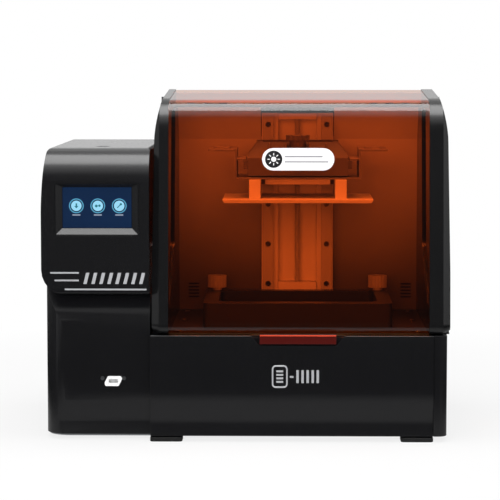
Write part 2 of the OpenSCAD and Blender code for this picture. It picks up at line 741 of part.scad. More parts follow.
module build_platform() {
    color(alu) difference() {
        box(about(print_x, platform_w), about(0, platform_d), [platform_z, platform_z + platform_t]);
        for (s = [-1, 1]) translate([print_x + s * platform_w / 2, 0, platform_z]) rotate([0, s * 30, 0])
            cube([4, platform_d + 2, 20], center = true);
        for (s = [-1, 1]) translate([print_x, s * platform_d / 2, platform_z]) rotate([-s * 30, 0, 0])
            cube([platform_w + 2, 4, 20], center = true);
    }
}

// Clamping knob: its stem runs down through the arm on to the web
module platform_knob() {
    color(dark) {
        difference() {
            rod_z(print_x, 0, [arm_z[1] + 3.3, arm_z[1] + 11], 17.5);
            for (a = [0:30:330]) translate([print_x + 19 * cos(a), 19 * sin(a), arm_z[1]]) cylinder(r = 3, h = 20);
        }
        rod_z(print_x, 0, [web_z + 2.8, arm_z[1] + 3.3], 5 - run);
    }
}

// ---- Vat ----

vat_foot = 0;
module vat_frame() {
    z = [deck_top + vat_foot, deck_top + vat_h];
    color(alu) difference() {
        translate([print_x, 0, z[0]]) linear_extrude(z[1] - z[0]) rounded_rect(vat_w, vat_d, 8);
        translate([print_x, 0, z[0] - 1]) linear_extrude(z[1] - z[0] + 2) rounded_rect(basin_w, basin_d, 14);
        translate([print_x, 0, z[0] - 1]) linear_extrude(3) rounded_rect(basin_w + 9, basin_d + 9, 8);
        for (s = [-1, 1]) rod_z(print_x + s * vat_knob_x, vat_knob_y, [z[0] - 1, z[1] + 1], 3 + fit);
    }
}

// Release film clamped in the underside of the vat
module vat_film() {
    color([0.8, 0.85, 0.9, 0.4]) translate([print_x, 0, deck_top + vat_foot + 1]) linear_extrude(1) rounded_rect(basin_w + 8.4, basin_d + 8.4, 8);
}

module vat_knob(x) {
    top = deck_top + vat_h;
    color(alu) {
        difference() {
            rod_z(x, vat_knob_y, [top + collar_h, top + collar_h + knob_h], knob_r);
            for (a = [0:20:340]) translate([x + (knob_r + 0.6) * cos(a), vat_knob_y + (knob_r + 0.6) * sin(a), top + collar_h - 1]) cylinder(r = 1.4, h = knob_h + 2);
        }
        rod_z(x, vat_knob_y, [top + 0.3, top + collar_h], 7);
        rod_z(x, vat_knob_y, [deck_bottom + 0.5, top + 0.3], 3);
    }
}

module vat_knob_left() {
    vat_knob(print_x - vat_knob_x);
}

module vat_knob_right() {
    vat_knob(print_x + vat_knob_x);
}

// ---- Exposure unit under the deck ----

fan_h = 20;
fan_z = [pan_top, pan_top + fan_h];
sink_z = [fan_z[1], fan_z[1] + 26];

module lcd_screen() {
    color([0.05, 0.05, 0.07]) box(about(print_x, lcd_w), about(0, lcd_d), [deck_top - lcd_seat, deck_top]);
}

module light_box() {
    color(steel) difference() {
        box(about(print_x, lcd_w - 4), about(0, lcd_d - 4), [sink_z[1] + 3, deck_bottom]);
        box(about(print_x, lcd_w - 7), about(0, lcd_d - 7), [sink_z[1] + 2, deck_bottom + 1]);
    }
}

module lens_panel() {
    color([0.85, 0.9, 0.95, 0.5]) {
        box(about(print_x, lcd_w - 7.6), about(0, lcd_d - 7.6), [deck_bottom - 32, deck_bottom - 30]);
        for (x = [-4.5:4.5], y = [-2.5:2.5]) translate([print_x + x * 22, y * 22, deck_bottom - 32])
            rotate_extrude() polygon([[0, -4], for (a = [0:15:90]) [8 * sin(a), -4 * cos(a)], [0, 0]]);
    }
}

module led_board() {
    color(green) box(about(print_x, lcd_w - 4), about(0, lcd_d - 4), [sink_z[1], sink_z[1] + 3]);
    color(white) for (x = [-4.5:4.5], y = [-2.5:2.5])
        box(about(print_x + x * 22, 3.5), about(y * 22, 3.5), [sink_z[1] + 3, sink_z[1] + 4.5]);
}

module heat_sink() {
    color(alu) difference() {
        box(about(print_x, 180), about(0, 120), sink_z);
        for (i = [-9:9]) box(about(print_x + i * 9.2, 7), [-61, 61], [sink_z[0] - 1, sink_z[1] - 6]);
    }
}

// Square fan frame lying in X and Y; the rotor turns on a post at its centre
module fan_frame(h) {
    difference() {
        translate([-fan_w / 2, -fan_w / 2, 0]) cube([fan_w, fan_w, h]);
        translate([0, 0, -1]) cylinder(r = fan_w * 0.47, h = h + 2);
        for (x = [-1, 1], y = [-1, 1]) translate([x * fan_w * 0.44, y * fan_w * 0.44, -1]) cylinder(r = 1.8, h = h + 2);
    }
    for (a = [45:90:315]) rotate([0, 0, a]) translate([3, -1.5, h - 3]) cube([fan_w * 0.47, 3, 2.5]);
    translate([0, 0, h - 3]) cylinder(r = 12, h = 2.5);
    translate([0, 0, 4]) cylinder(r = 2.5, h = h - 6);
}

module fan_rotor(h) {
    difference() {
        union() {
            translate([0, 0, 2]) cylinder(r = 14, h = h - 6);
            for (a = [0:51.43:308.6]) rotate([0, 0, a]) translate([10, 0, (h - 2) / 2]) rotate([35, 0, 0])
                translate([0, -0.8, -(h - 8) / 2]) cube([fan_w * 0.45 - 10, 1.6, h - 8]);
        }
        translate([0, 0, 3.5]) cylinder(r = 2.5 + run, h = h);
    }
}

module led_fan_frame() {
    color(dark) translate([print_x, 0, fan_z[0]]) fan_frame(fan_h);
}

module led_fan_rotor() {
    color(dark) translate([print_x, 0, fan_z[0]]) fan_rotor(fan_h);
}

module exhaust_place() {
    translate([exhaust[0], y_sheet - 20, exhaust[1]]) rotate([-90, 0, 0]) children();
}

module exhaust_fan_frame() {
    color(dark) exhaust_place() fan_frame(20);
}

module exhaust_fan_rotor() {
    color(dark) exhaust_place() fan_rotor(20);
}

// ---- Cover ----

// Everything below turns about the hinge line when the cover opens
module cover_side(d) {
    polygon(rounded(inset(cover_pts, d)));
}

frame_bevel = 10;
// The window follows the outline without its short lower edge
front_slope = (cover_pts[4][0] - cover_pts[0][0]) / (cover_pts[4][1] - cover_z);
back_slope = (knee_z - cover_z) / (knee_y - cover_pts[1][0]);
toe_y = (cover_pts[0][0] - front_slope * back_slope * cover_pts[1][0]) / (1 - front_slope * back_slope);
window_pts = [[toe_y, cover_z + (toe_y - cover_pts[1][0]) * back_slope, 14], cover_pts[2], cover_pts[3], cover_pts[4]];
module window_side(d) {
    polygon(rounded([for (p = inset(window_pts, d)) [p[0], p[1], max(p[2], 16)]]));
}

module cover_frame(x, outer) {
    flat = [for (v = x) v == outer ? v - sign(outer - print_x) * frame_bevel : v];
    skin = outer - sign(outer - print_x) * 1;
    color(black) difference() {
        hull() {
            along_x(flat) cover_side(0);
            along_x([min(skin, outer), max(skin, outer)]) cover_side(frame_bevel * 0.6);
        }
        along_x([x[0] - 1, x[1] + 1]) window_side(frame_band);
        frame_drawn(outer);
    }
}

// What the drawing in takes off a frame's outer face, measured from its sloping top
module frame_drawn(outer) {
    s = sign(outer - print_x);
    translate([0, cover_pts[4][0], bend_z]) rotate([top_slope, 0, 0])
        along_y([-120, 280]) polygon(concat(
            [for (i = [0:10]) [outer - s * (frame_taper + (frame_draw - frame_taper) * pow(1 - i / 10, 1.6)), -frame_draw_h * i / 10]],
            [[outer + s * 0.3, -frame_draw_h - 200], [outer + s * 12, -frame_draw_h - 200], [outer + s * 12, 14],
                [outer - s * frame_draw, 14]]));
}

module cover_frame_left() {
    cover_frame([x_cover, chamber_x[0]], x_cover);
}

module cover_frame_right() {
    cover_frame([chamber_x[1], x_right], x_right);
}

// Amber windows filling the side frames' openings
module cover_side_panes() {
    color(amber) for (x = [chamber_x[0] - 3 - pane_t, chamber_x[1] + 3])
        along_x([x, x + pane_t]) window_side(frame_band);
}

// The two panes meet on a radius of the bend
lean = atan2(cover_rake, bend_z - cover_z);
top_slope = atan2(top_rise, cover_rear_y - cover_pts[4][0]);
bend_centre = xy(cover_pts[4]) - pane_bend_r * [-cos(lean) - sin(top_slope), sin(lean) + cos(top_slope)] / (1 + sin(lean + top_slope));
seam_rise = 58;
seam_gap = 0.8;
function on_seam(r, side) = bend_centre + r * [-cos(seam_rise), sin(seam_rise)] + side * seam_gap * [sin(seam_rise), cos(seam_rise)];
pane_pts = [for (i = [0:4]) i < 4 ? cover_pts[i] : [cover_pts[4][0], bend_z, pane_bend_r]];
module pane_band() {
    difference() {
        polygon(rounded(inset(pane_pts, 1)));
        polygon(rounded(inset(pane_pts, 1 + pane_t)));
    }
}

// Front pane, bent inward at its foot and back at its top
module cover_front_pane() {
    color(amber) along_x(chamber_x) intersection() {
        pane_band();
        polygon([[y_front - 5, cover_z - 1], [y_front + 11, cover_z - 1], on_seam(0, -1), on_seam(pane_bend_r + 20, -1),
            [y_front - 5, on_seam(pane_bend_r + 20, -1)[1]]]);
    }
}

module cover_top_pane() {
    color(amber) along_x(chamber_x) intersection() {
        pane_band();
        polygon([on_seam(pane_bend_r + 20, 1), on_seam(0, 1), [cover_rear_y - 10, bend_z - 8], [cover_rear_y - 10, bend_z + 40]]);
    }
}

bar_d = 20;
module cover_rear_bar() {
    color(alu) along_x(chamber_x) intersection() {
        cover_side(1 + pane_t);
        translate([cover_rear_y - 5 - bar_d, cover_pts[3][1] - 20]) square([bar_d, 30]);
    }
}

tab_t = 3.5;
// Finger tab under the front pane, inside the base's notch
module cover_handle() {
    y = cover_pts[0][0];
    color([0.75, 0.2, 0.1]) {
        box(about(print_x, tab_w), [y + 0.5, y + 0.5 + tab_t], [deck_top - notch_h + 2, cover_z + 0.9]);
        box(about(print_x, tab_w), [y + 0.4 + tab_t, y + 12], [cover_z + 0.9 - tab_t, cover_z + 0.9]);
    }
}

label_z = 392;
module cover_label() {
    y = cover_pts[0][0] + (label_z - cover_z) * tan(lean);
    color(white) translate([print_x, y + 1, label_z]) rotate([90 - lean, 0, 0])
        linear_extrude(0.4) rounded_rect(label_w, label_h, label_h / 2 - 0.1);
}

// ---- Hinge ----

leaf_l = 60;
leaf_x = [chamber_x[0] + 45, chamber_x[1] - 45];
knuckle = leaf_l / 5;

module knuckles(odd) {
    for (x = leaf_x, i = [(odd ? 1 : 0):2:4])
        difference() {
            union() {
                rod_x([x - leaf_l / 2 + i * knuckle + 0.2, x - leaf_l / 2 + (i + 1) * knuckle - 0.2], hinge[0], hinge[1], barrel_r);
                translate([x - leaf_l / 2 + i * knuckle + 0.2, hinge[0], hinge[1]]) children();
            }
            rod_x([x - leaf_l, x + leaf_l], hinge[0], hinge[1], odd ? hinge_pin_r + run : hinge_pin_r);
        }
}

// Distance from the hinge line to the underside of the roof
roof_drop = hinge_relief * sin(roof_slope) - sin(roof_slope) - shell_t;
module hinge_fixed_leaves() {
    w = knuckle - 0.4;
    color(steel) {
        knuckles(false) rotate([-roof_slope, 0, 0]) translate([0, 3.3, roof_drop - 2.35]) cube([w, hinge_relief, 2.2]);
        for (x = leaf_x) translate([x - leaf_l / 2 + 0.2, hinge[0], hinge[1]]) rotate([-roof_slope, 0, 0])
            translate([0, hinge_relief + 1.5, roof_drop - 2.5]) cube([leaf_l - 0.4, 16, 2.5]);
    }
}

module hinge_moving_leaves() {
    w = knuckle - 0.4;
    bar_y = cover_rear_y - 5;
    color(steel) {
        knuckles(true) translate([0, bar_y - hinge[0], -1.5]) cube([w, hinge[0] - bar_y, 3]);
        for (x = leaf_x) box([x - leaf_l / 2 + 0.2, x + leaf_l / 2 - 0.2], [bar_y, bar_y + 2.5], [hinge[1] - 7, hinge[1] + 6]);
    }
}

module hinge_pins() {
    color(steel) for (x = leaf_x) rod_x([x - leaf_l / 2 - 0.5, x + leaf_l / 2 + 0.5], hinge[0], hinge[1], hinge_pin_r);
}

// ---- Pieces ----

base_pan();
base_front_panel();
base_right_panel();
feet();
deck_plate();
socket_screws();
rear_panel();
rear_roof();
cheek_left();
cheek_right();
chamber_back_wall();
tower_shell();
screen_bezel();
touch_screen();
button_ring();
power_button();
usb_port();
usb_port_screws();
control_board();
power_supply();
power_inlet();
rocker_switch();
column();
guide_rails();
bearing_blocks();
z_motor();
lead_screw();
shaft_coupling();
lcd_screen();
light_box();
lens_panel();
led_board();
heat_sink();
led_fan_frame();
led_fan_rotor();
exhaust_fan_frame();
exhaust_fan_rotor();
hinge_fixed_leaves();
hinge_pins();
hinge_moving_leaves();
cover_frame_left();
cover_frame_right();
cover_rear_bar();
cover_front_pane();
cover_top_pane();
cover_side_panes();
cover_handle();
cover_label();
guide_blocks();
carriage_plate();
screw_nut();
support_arm();
platform_bracket();
platform_posts();
build_platform();
platform_knob();
vat_frame();
vat_film();
vat_knob_left();
vat_knob_right();
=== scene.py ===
"""Finishes and fine shapes of the resin printer, dressed over its CAD frame.

Lengths are in metres, except where a name ends in mm and in the sizes given to the rules, which are in millimetres.
"""

import json
import math

import bmesh
import bpy
from mathutils import Matrix, Vector


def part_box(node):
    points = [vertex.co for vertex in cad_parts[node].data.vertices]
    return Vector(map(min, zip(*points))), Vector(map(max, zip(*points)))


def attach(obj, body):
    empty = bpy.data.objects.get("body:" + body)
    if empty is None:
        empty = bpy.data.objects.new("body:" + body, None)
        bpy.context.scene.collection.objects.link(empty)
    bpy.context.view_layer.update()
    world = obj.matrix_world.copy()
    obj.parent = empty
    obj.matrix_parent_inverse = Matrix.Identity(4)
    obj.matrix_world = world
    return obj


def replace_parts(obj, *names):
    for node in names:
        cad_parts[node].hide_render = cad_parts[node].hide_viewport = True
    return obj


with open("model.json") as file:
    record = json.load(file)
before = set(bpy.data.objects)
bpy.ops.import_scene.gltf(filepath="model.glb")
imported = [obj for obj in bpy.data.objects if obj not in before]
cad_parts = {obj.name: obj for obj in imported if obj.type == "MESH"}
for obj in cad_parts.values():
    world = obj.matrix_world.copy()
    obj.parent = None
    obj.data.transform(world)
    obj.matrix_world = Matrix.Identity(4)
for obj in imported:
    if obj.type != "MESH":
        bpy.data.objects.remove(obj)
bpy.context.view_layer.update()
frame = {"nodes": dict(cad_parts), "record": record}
MM = 0.001


# ---- Materials ----


def linear(code):
    """A colour written as sRGB hex, as linear RGBA."""
    parts = [int(code[i : i + 2], 16) / 255 for i in (1, 3, 5)]
    return [c / 12.92 if c <= 0.04045 else ((c + 0.055) / 1.055) ** 2.4 for c in parts] + [1.0]


def put(tree, kind, inputs=None, **settings):
    """Adds a node, with its settings, and its inputs as values or as links from other nodes' sockets."""
    node = tree.nodes.new(kind)
    for name, value in settings.items():
        setattr(node, name, value)
    for key, value in (inputs or {}).items():
        if isinstance(value, bpy.types.NodeSocket):
            tree.links.new(value, node.inputs[key])
        else:
            node.inputs[key].default_value = value
    return node


def measured(tree, value, low, high, at_low, at_high, smooth=False):
    """The value read on a scale from low to high, giving at_low to at_high."""
    ends = {"Value": value, "From Min": low, "From Max": high, "To Min": at_low, "To Max": at_high}
    curve = "SMOOTHSTEP" if smooth else "LINEAR"
    return put(tree, "ShaderNodeMapRange", ends, interpolation_type=curve).outputs["Result"]


def figured(tree, operation, first, second=0.0):
    """The sum, product or other figure of two values."""
    return put(tree, "ShaderNodeMath", {0: first, 1: second}, operation=operation).outputs["Value"]


def blended(tree, share, first, second):
    return put(tree, "ShaderNodeMix", {0: share, 2: first, 3: second}, data_type="FLOAT").outputs[0]


def empty_material(name):
    material = bpy.data.materials.new(name)
    material.use_nodes = True
    material.node_tree.nodes.clear()
    return material, material.node_tree


def finish_material(tree, shader):
    out = put(tree, "ShaderNodeOutputMaterial")
    tree.links.new(shader, out.inputs["Surface"])


# How large the slow drift of a finish's colour is: its noise has this many cells to a metre
CLOUD_SCALE = 9.0


def surface(
    name,
    colour,
    roughness,
    grain_mm,
    grain_depth_mm=0.01,
    stretch=(1, 1, 1),
    spread=0.04,
    tone=0.08,
    fade=None,
    **sockets,
):
    """A solid finish: its colour drifts a little, and its grain, grain_mm across, moves the roughness and the bump.
    A fade, which paints light as a colour that pales from its foot to its top, is (height of its foot, height of its
    top, colour there), all in metres and hex."""
    material, tree = empty_material(name)
    place = put(tree, "ShaderNodeTexCoord").outputs["Object"]
    grain_place = put(tree, "ShaderNodeMapping", {"Vector": place, "Scale": stretch}).outputs["Vector"]
    grain_scale = 1 / (grain_mm * MM)
    grain = put(tree, "ShaderNodeTexNoise", {"Vector": grain_place, "Scale": grain_scale, "Detail": 3.0}).outputs["Fac"]
    cloud = put(tree, "ShaderNodeTexNoise", {"Vector": place, "Scale": CLOUD_SCALE, "Detail": 4.0}).outputs["Fac"]
    base = linear(colour)
    pale = [min(1.0, c * (1 + tone)) for c in base[:3]] + [1.0]
    deep = [c * (1 - tone) for c in base[:3]] + [1.0]
    tint = put(tree, "ShaderNodeMix", {0: cloud, 6: deep, 7: pale}, data_type="RGBA").outputs[2]
    # A fade paints light: the colour pales towards its top as if lit there
    if fade:
        low, high, top_colour = fade
        height = put(tree, "ShaderNodeSeparateXYZ", {"Vector": place}).outputs["Z"]
        climb = measured(tree, height, low, high, 0.0, 1.0, smooth=True)
        tint = put(tree, "ShaderNodeMix", {0: climb, 6: tint, 7: linear(top_colour)}, data_type="RGBA").outputs[2]
    rough = measured(tree, grain, 0.3, 0.7, max(0.02, roughness - spread), min(1.0, roughness + spread))
    depth = grain_depth_mm * MM
    bump = put(tree, "ShaderNodeBump", {"Height": grain, "Strength": 0.5, "Distance": depth}).outputs["Normal"]
    values = {"Base Color": tint, "Roughness": rough, "Normal": bump}
    values.update(sockets)
    shader = put(tree, "ShaderNodeBsdfPrincipled", values)
    finish_material(tree, shader.outputs["BSDF"])
    return material


def clear_pane(name, tint, gloss=1.0, edge_ior=1.49):
    """A polished see-through sheet: light passes tinted, and its outer face mirrors for both, 2F / (1 + F)."""
    material, tree = empty_material(name)
    through = put(tree, "ShaderNodeBsdfTransparent", {"Color": linear(tint)}).outputs["BSDF"]
    mirror = put(tree, "ShaderNodeBsdfGlossy", {"Color": (gloss, gloss, gloss, 1), "Roughness": 0.03}).outputs["BSDF"]
    edge = put(tree, "ShaderNodeFresnel", {"IOR": edge_ior}).outputs["Fac"]
    outer = figured(tree, "SUBTRACT", 1.0, put(tree, "ShaderNodeNewGeometry").outputs["Backfacing"])
    both = figured(tree, "DIVIDE", figured(tree, "MULTIPLY", edge, 2.0), figured(tree, "ADD", edge, 1.0))
    share = figured(tree, "MULTIPLY", both, outer)
    finish_material(tree, put(tree, "ShaderNodeMixShader", {0: share, 1: through, 2: mirror}).outputs["Shader"])
    return material


def lit_sign(name, colour, strength=1.0):
    """A glowing sign on the screen."""
    material, tree = empty_material(name)
    glow = put(tree, "ShaderNodeEmission", {"Color": linear(colour), "Strength": strength})
    finish_material(tree, glow.outputs["Emission"])
    return material


# ABS, moulded in a finely sparked tool: satin, so a lamp shows as a soft band on every roll
moulded_abs = surface("moulded_abs_black", "#101012", 0.24, 0.7, 0.006)
# The same plastic with a closer grain, on the cover's frames
frame_abs = surface("moulded_abs_frame", "#101011", 0.24, 0.5, 0.005)
# Steel sheet under black powder coat: an even orange peel
coated_sheet = surface("powder_coated_sheet_black", "#1c1c1f", 0.5, 1.2, 0.03)
# The chamber's wall: grey powder coat, with painted light: its colour pales towards the top as if lit there, and stays
# darker towards the deck as painted shade
wall_painted_light = surface("powder_coated_wall_grey_painted_light", "#4c4c4e", 0.5, 1.2, 0.02, fade=(0.17, 0.44, "#d2d2d4"))
# Aluminium, extruded, brushed and clear anodised: long streaks along its run
brushed_aluminium = surface(
    "brushed_aluminium_clear", "#e6e7ea", 0.45, 0.9, 0.002, stretch=(1, 1, 0.01), spread=0.03, tone=0.02, Metallic=0.18
)
# Aluminium, bead blasted and clear anodised: an even pale matt
platform_aluminium = surface(
    "blasted_aluminium_clear", "#eeeeef", 0.5, 0.6, 0.004, spread=0.04, tone=0.02, Metallic=0.12
)
# Aluminium, turned: fine rings round the axis
turned_aluminium = surface(
    "turned_aluminium_clear", "#d2d3d6", 0.34, 0.5, 0.003, stretch=(0.1, 0.1, 1), spread=0.05, tone=0.03, Metallic=0.6
)
# Aluminium, black anodised: dark and satin, with a metal's glance
dark_aluminium = surface("black_anodised_aluminium", "#343437", 0.38, 0.6, 0.006, spread=0.05, Metallic=0.5)
# Aluminium, bead blasted and grey anodised: a mid tone that shows its folds and ribs
grey_aluminium = surface("grey_anodised_aluminium", "#77777b", 0.42, 0.6, 0.006, spread=0.05, Metallic=0.5)
# Stainless sheet, folded and brushed: pale at its edges
folded_sheet = surface(
    "brushed_stainless_sheet", "#98989c", 0.4, 0.6, 0.004, stretch=(0.05, 1, 1), spread=0.05, Metallic=0.6
)
# Steel, ground: hairlines along the rail
ground_steel = surface(
    "ground_steel", "#c8cacd", 0.32, 0.4, 0.001, stretch=(1, 1, 0.05), spread=0.02, tone=0.02, Metallic=0.3
)
# Steel, zinc plated: cool grey, slightly blotched
zinc_steel = surface("zinc_plated_steel", "#a9abae", 0.32, 2.0, 0.006, spread=0.08, Metallic=1.0)
cast_bronze = surface("turned_bronze", "#a8834a", 0.32, 0.6, 0.006, Metallic=1.0)
rubber = surface("moulded_rubber", "#161616", 0.8, 0.8, 0.03)
pcb_lacquer = surface("circuit_board_lacquer", "#17452a", 0.35, 0.5, 0.01)
white_abs = surface("moulded_abs_white", "#f2f2f2", 0.3, 0.8, 0.005, tone=0.02)
# Vinyl film, printed: a flat satin white with ink that lies a hair above it
label_film = surface("printed_label_film", "#f1eff0", 0.4, 0.6, 0.002, tone=0.01)
label_ink = surface("label_ink_black", "#141416", 0.4, 0.6, 0.004)
label_grey = surface("label_ink_grey", "#7d7c80", 0.45, 0.6, 0.004)
# Silver ink, pad printed on the plastic: pale, half metallic
silver_ink = surface("pad_printed_silver", "#b9babd", 0.4, 0.4, 0.003, tone=0.05, Metallic=0.3)
# Cover glass over a lit display: deep blue under a polished face
screen_cover = surface("screen_glass_blue", "#07203f", 0.1, 2.0, 0.0, spread=0.02, tone=0.15)
lcd_glass = surface("lcd_glass_black", "#0b0b0f", 0.08, 2.0, 0.0, spread=0.02)
led_white = surface("led_package_white", "#e6e6e0", 0.4, 0.5, 0.01)
# Acrylic, cast, dyed amber and flame polished: it passes orange and mirrors the room in its bends
amber_acrylic = clear_pane("amber_acrylic", "#ffca9c", gloss=0.62)
# The same acrylic, thick and seen edge on over black: a deep red
red_acrylic = surface("red_acrylic", "#470c08", 0.14, 2.0, 0.0, spread=0.02)
# A bright red-orange laid on the tab's top edge as a painted highlight of its lit edge
tab_edge_painted_highlight = surface("tab_edge_painted_highlight_red", "#d2462a", 0.2, 2.0, 0.0, spread=0.02)
clear_film = clear_pane("clear_film", "#f2f6f8")
lens_acrylic = clear_pane("lens_acrylic", "#f4f8fa")
sign_blue = lit_sign("lit_sign_blue", "#9cdcf7")
sign_ring = lit_sign("lit_sign_ring", "#63b3d6", 0.8)
sign_mark = lit_sign("lit_sign_mark", "#2c7f92", 0.8)
sign_pale = lit_sign("lit_sign_pale", "#a9b4c8", 0.7)


# ---- Making pieces ----


def new_piece(name, mesh, body, material=None, smooth=None):
    """A finished mesh as a piece that rides on a body, with the given finish."""
    piece = bpy.data.objects.new(name, mesh)
    bpy.context.scene.collection.objects.link(piece)
    if material:
        piece.data.materials.clear()
        piece.data.materials.append(material)
    if smooth is not None:
        shade_smooth(piece, smooth)
    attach(piece, body)
    return piece


def shade_smooth(piece, angle):
    """Smooth shading, with edges past the angle, in degrees, kept sharp."""
    bm = bmesh.new()
    bm.from_mesh(piece.data)
    for face in bm.faces:
        face.smooth = True
    for edge in bm.edges:
        edge.smooth = edge.calc_face_angle(0) < math.radians(angle)
    bm.to_mesh(piece.data)
    bm.free()


def merged_copy(node):
    """A copy of a CAD node's mesh with its loose triangles joined and its flat faces made whole."""
    mesh = frame["nodes"][node].data.copy()
    bm = bmesh.new()
    bm.from_mesh(mesh)
    bmesh.ops.remove_doubles(bm, verts=bm.verts, dist=2e-6)
    bmesh.ops.dissolve_limit(bm, angle_limit=math.radians(0.8), verts=bm.verts, edges=bm.edges)
    bm.to_mesh(mesh)
    bm.free()
    return mesh


riders = {n: body for body, names in frame["record"]["behaviour"]["bodies"].items() for n in names}


def refined(node, material, edge_mm=0.0, angle=30, segments=2):
    """The CAD node again with its moulded or machined edges eased."""
    piece = new_piece(node + "_dressed", merged_copy(node), riders[node], material, smooth=angle)
    if edge_mm:
        bevel = piece.modifiers.new("eased_edges", "BEVEL")
        bevel.width = edge_mm * MM
        bevel.segments = segments
        bevel.limit_method = "ANGLE"
        bevel.angle_limit = math.radians(angle)
        bevel.use_clamp_overlap = True
    even = piece.modifiers.new("even_shading", "WEIGHTED_NORMAL")
    even.keep_sharp = True
    even.weight = 80
    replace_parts(piece, node)
    return piece


# ---- Shapes grown by rule ----


def rule(name, **sizes):
    """A node tree with one named input for each size. Gives the tree, its sizes and what ends it."""
    tree = bpy.data.node_groups.new(name, "GeometryNodeTree")
    tree.interface.new_socket("Geometry", in_out="INPUT", socket_type="NodeSocketGeometry")
    for size, value in sizes.items():
        kind = {int: "NodeSocketInt", float: "NodeSocketFloat", tuple: "NodeSocketVector"}[type(value)]
        tree.interface.new_socket(size, in_out="INPUT", socket_type=kind).default_value = value
    tree.interface.new_socket("Geometry", in_out="OUTPUT", socket_type="NodeSocketGeometry")
    start = put(tree, "NodeGroupInput").outputs

    def end(geometry, material):
        whole = put(tree, "GeometryNodeRealizeInstances", {"Geometry": geometry}).outputs["Geometry"]
        dyed = put(tree, "GeometryNodeSetMaterial", {"Geometry": whole, "Material": material}).outputs["Geometry"]
        put(tree, "NodeGroupOutput", {"Geometry": dyed})
        return tree

    return tree, start, end


def grown(tree, points=(), place=Matrix(), **sizes):
    """The mesh that a rule's tree gives for these sizes, over points or over nothing, laid in its place."""
    seed = bpy.data.meshes.new("seed")
    seed.from_pydata([Vector(p) for p in points], [], [])
    holder = bpy.data.objects.new("seed", seed)
    bpy.context.scene.collection.objects.link(holder)
    modifier = holder.modifiers.new("rule", "NODES")
    modifier.node_group = tree
    for socket in tree.interface.items_tree:
        if socket.in_out == "INPUT" and socket.name in sizes:
            modifier[socket.identifier] = sizes[socket.name]
    bpy.context.view_layer.update()
    mesh = bpy.data.meshes.new_from_object(holder.evaluated_get(bpy.context.evaluated_depsgraph_get()))
    bpy.data.objects.remove(holder)
    mesh.transform(place)
    return mesh


def join_all(tree, *parts):
    node = put(tree, "GeometryNodeJoinGeometry")
    for part in parts:
        tree.links.new(part, node.inputs[0])
    return node.outputs[0]


def facing_front(x_mm, y_mm, z_mm, lean_deg=0.0):
    """Where a flat shape drawn in X and Y goes on an upright face: its Y runs up the face, and it faces the front."""
    return Matrix.Translation(Vector((x_mm, y_mm, z_mm)) * MM) @ Matrix.Rotation(math.radians(90 - lean_deg), 4, "X")


def scaled(tree, socket, factor=MM):
    return figured(tree, "MULTIPLY", socket, factor)


def vector(tree, x=0.0, y=0.0, z=0.0):
    return put(tree, "ShaderNodeCombineXYZ", {"X": x, "Y": y, "Z": z}).outputs["Vector"]


def repeated(tree, points, shape):
    return put(tree, "GeometryNodeInstanceOnPoints", {"Points": points, "Instance": shape}).outputs["Instances"]


def rectangle(tree, width, height):
    sides = {"Width": width, "Height": height}
    return put(tree, "GeometryNodeCurvePrimitiveQuadrilateral", sides).outputs["Curve"]


def cylinder(tree, vertices, radius, depth):
    sizes = {"Vertices": vertices, "Radius": radius, "Depth": depth}
    return put(tree, "GeometryNodeMeshCylinder", sizes).outputs["Mesh"]


def moved(tree, geometry, offset):
    return put(tree, "GeometryNodeTransform", {"Geometry": geometry, "Translation": offset}).outputs["Geometry"]


def bars_rule(name, material):
    """A row of flat bars, each leaning by slant for every unit of its height."""
    tree, size, end = rule(name, count=5, step=(10.0, 0.0, 0.0), width=4.0, height=12.0, thick=0.15, slant=0.0)
    side = vector(tree, scaled(tree, size["width"]), scaled(tree, size["height"]), scaled(tree, size["thick"]))
    bar = put(tree, "GeometryNodeMeshCube", {"Size": side}).outputs["Mesh"]
    up = put(tree, "ShaderNodeSeparateXYZ", {"Vector": put(tree, "GeometryNodeInputPosition").outputs[0]}).outputs["Y"]
    shift = vector(tree, figured(tree, "MULTIPLY", up, size["slant"]))
    bar = put(tree, "GeometryNodeSetPosition", {"Geometry": bar, "Offset": shift}).outputs["Geometry"]
    step = put(tree, "ShaderNodeVectorMath", {0: size["step"], "Scale": MM}, operation="SCALE").outputs["Vector"]
    row = put(tree, "GeometryNodeMeshLine", {"Count": size["count"], "Offset": step}).outputs["Mesh"]
    return end(repeated(tree, row, bar), material)


def frame_line_rule(name, material):
    """A rounded rectangle's outline as a flat line."""
    tree, size, end = rule(name, width=20.0, height=30.0, corner=4.0, line=2.0, thick=0.15)
    path = rectangle(tree, scaled(tree, size["width"]), scaled(tree, size["height"]))
    corners = {"Curve": path, "Radius": scaled(tree, size["corner"]), "Count": 6}
    path = put(tree, "GeometryNodeFilletCurve", corners, mode="POLY").outputs["Curve"]
    section = rectangle(tree, scaled(tree, size["line"]), scaled(tree, size["thick"]))
    swept = {"Curve": path, "Profile Curve": section, "Fill Caps": False}
    return end(put(tree, "GeometryNodeCurveToMesh", swept).outputs["Mesh"], material)


def rings_rule(name, material):
    """A row of flat rings, or of discs where the hole is nothing."""
    tree, size, end = rule(name, count=3, pitch=30.0, outer=8.0, inner=0.0, thick=0.15)
    middle = scaled(tree, figured(tree, "ADD", size["outer"], size["inner"]), 0.5 * MM)
    width = scaled(tree, figured(tree, "SUBTRACT", size["outer"], size["inner"]))
    path = put(tree, "GeometryNodeCurvePrimitiveCircle", {"Radius": middle, "Resolution": 48}).outputs["Curve"]
    section = rectangle(tree, width, scaled(tree, size["thick"]))
    ring = put(tree, "GeometryNodeCurveToMesh", {"Curve": path, "Profile Curve": section}).outputs["Mesh"]
    step = vector(tree, scaled(tree, size["pitch"]))
    row = put(tree, "GeometryNodeMeshLine", {"Count": size["count"], "Offset": step}).outputs["Mesh"]
    return end(repeated(tree, row, ring), material)


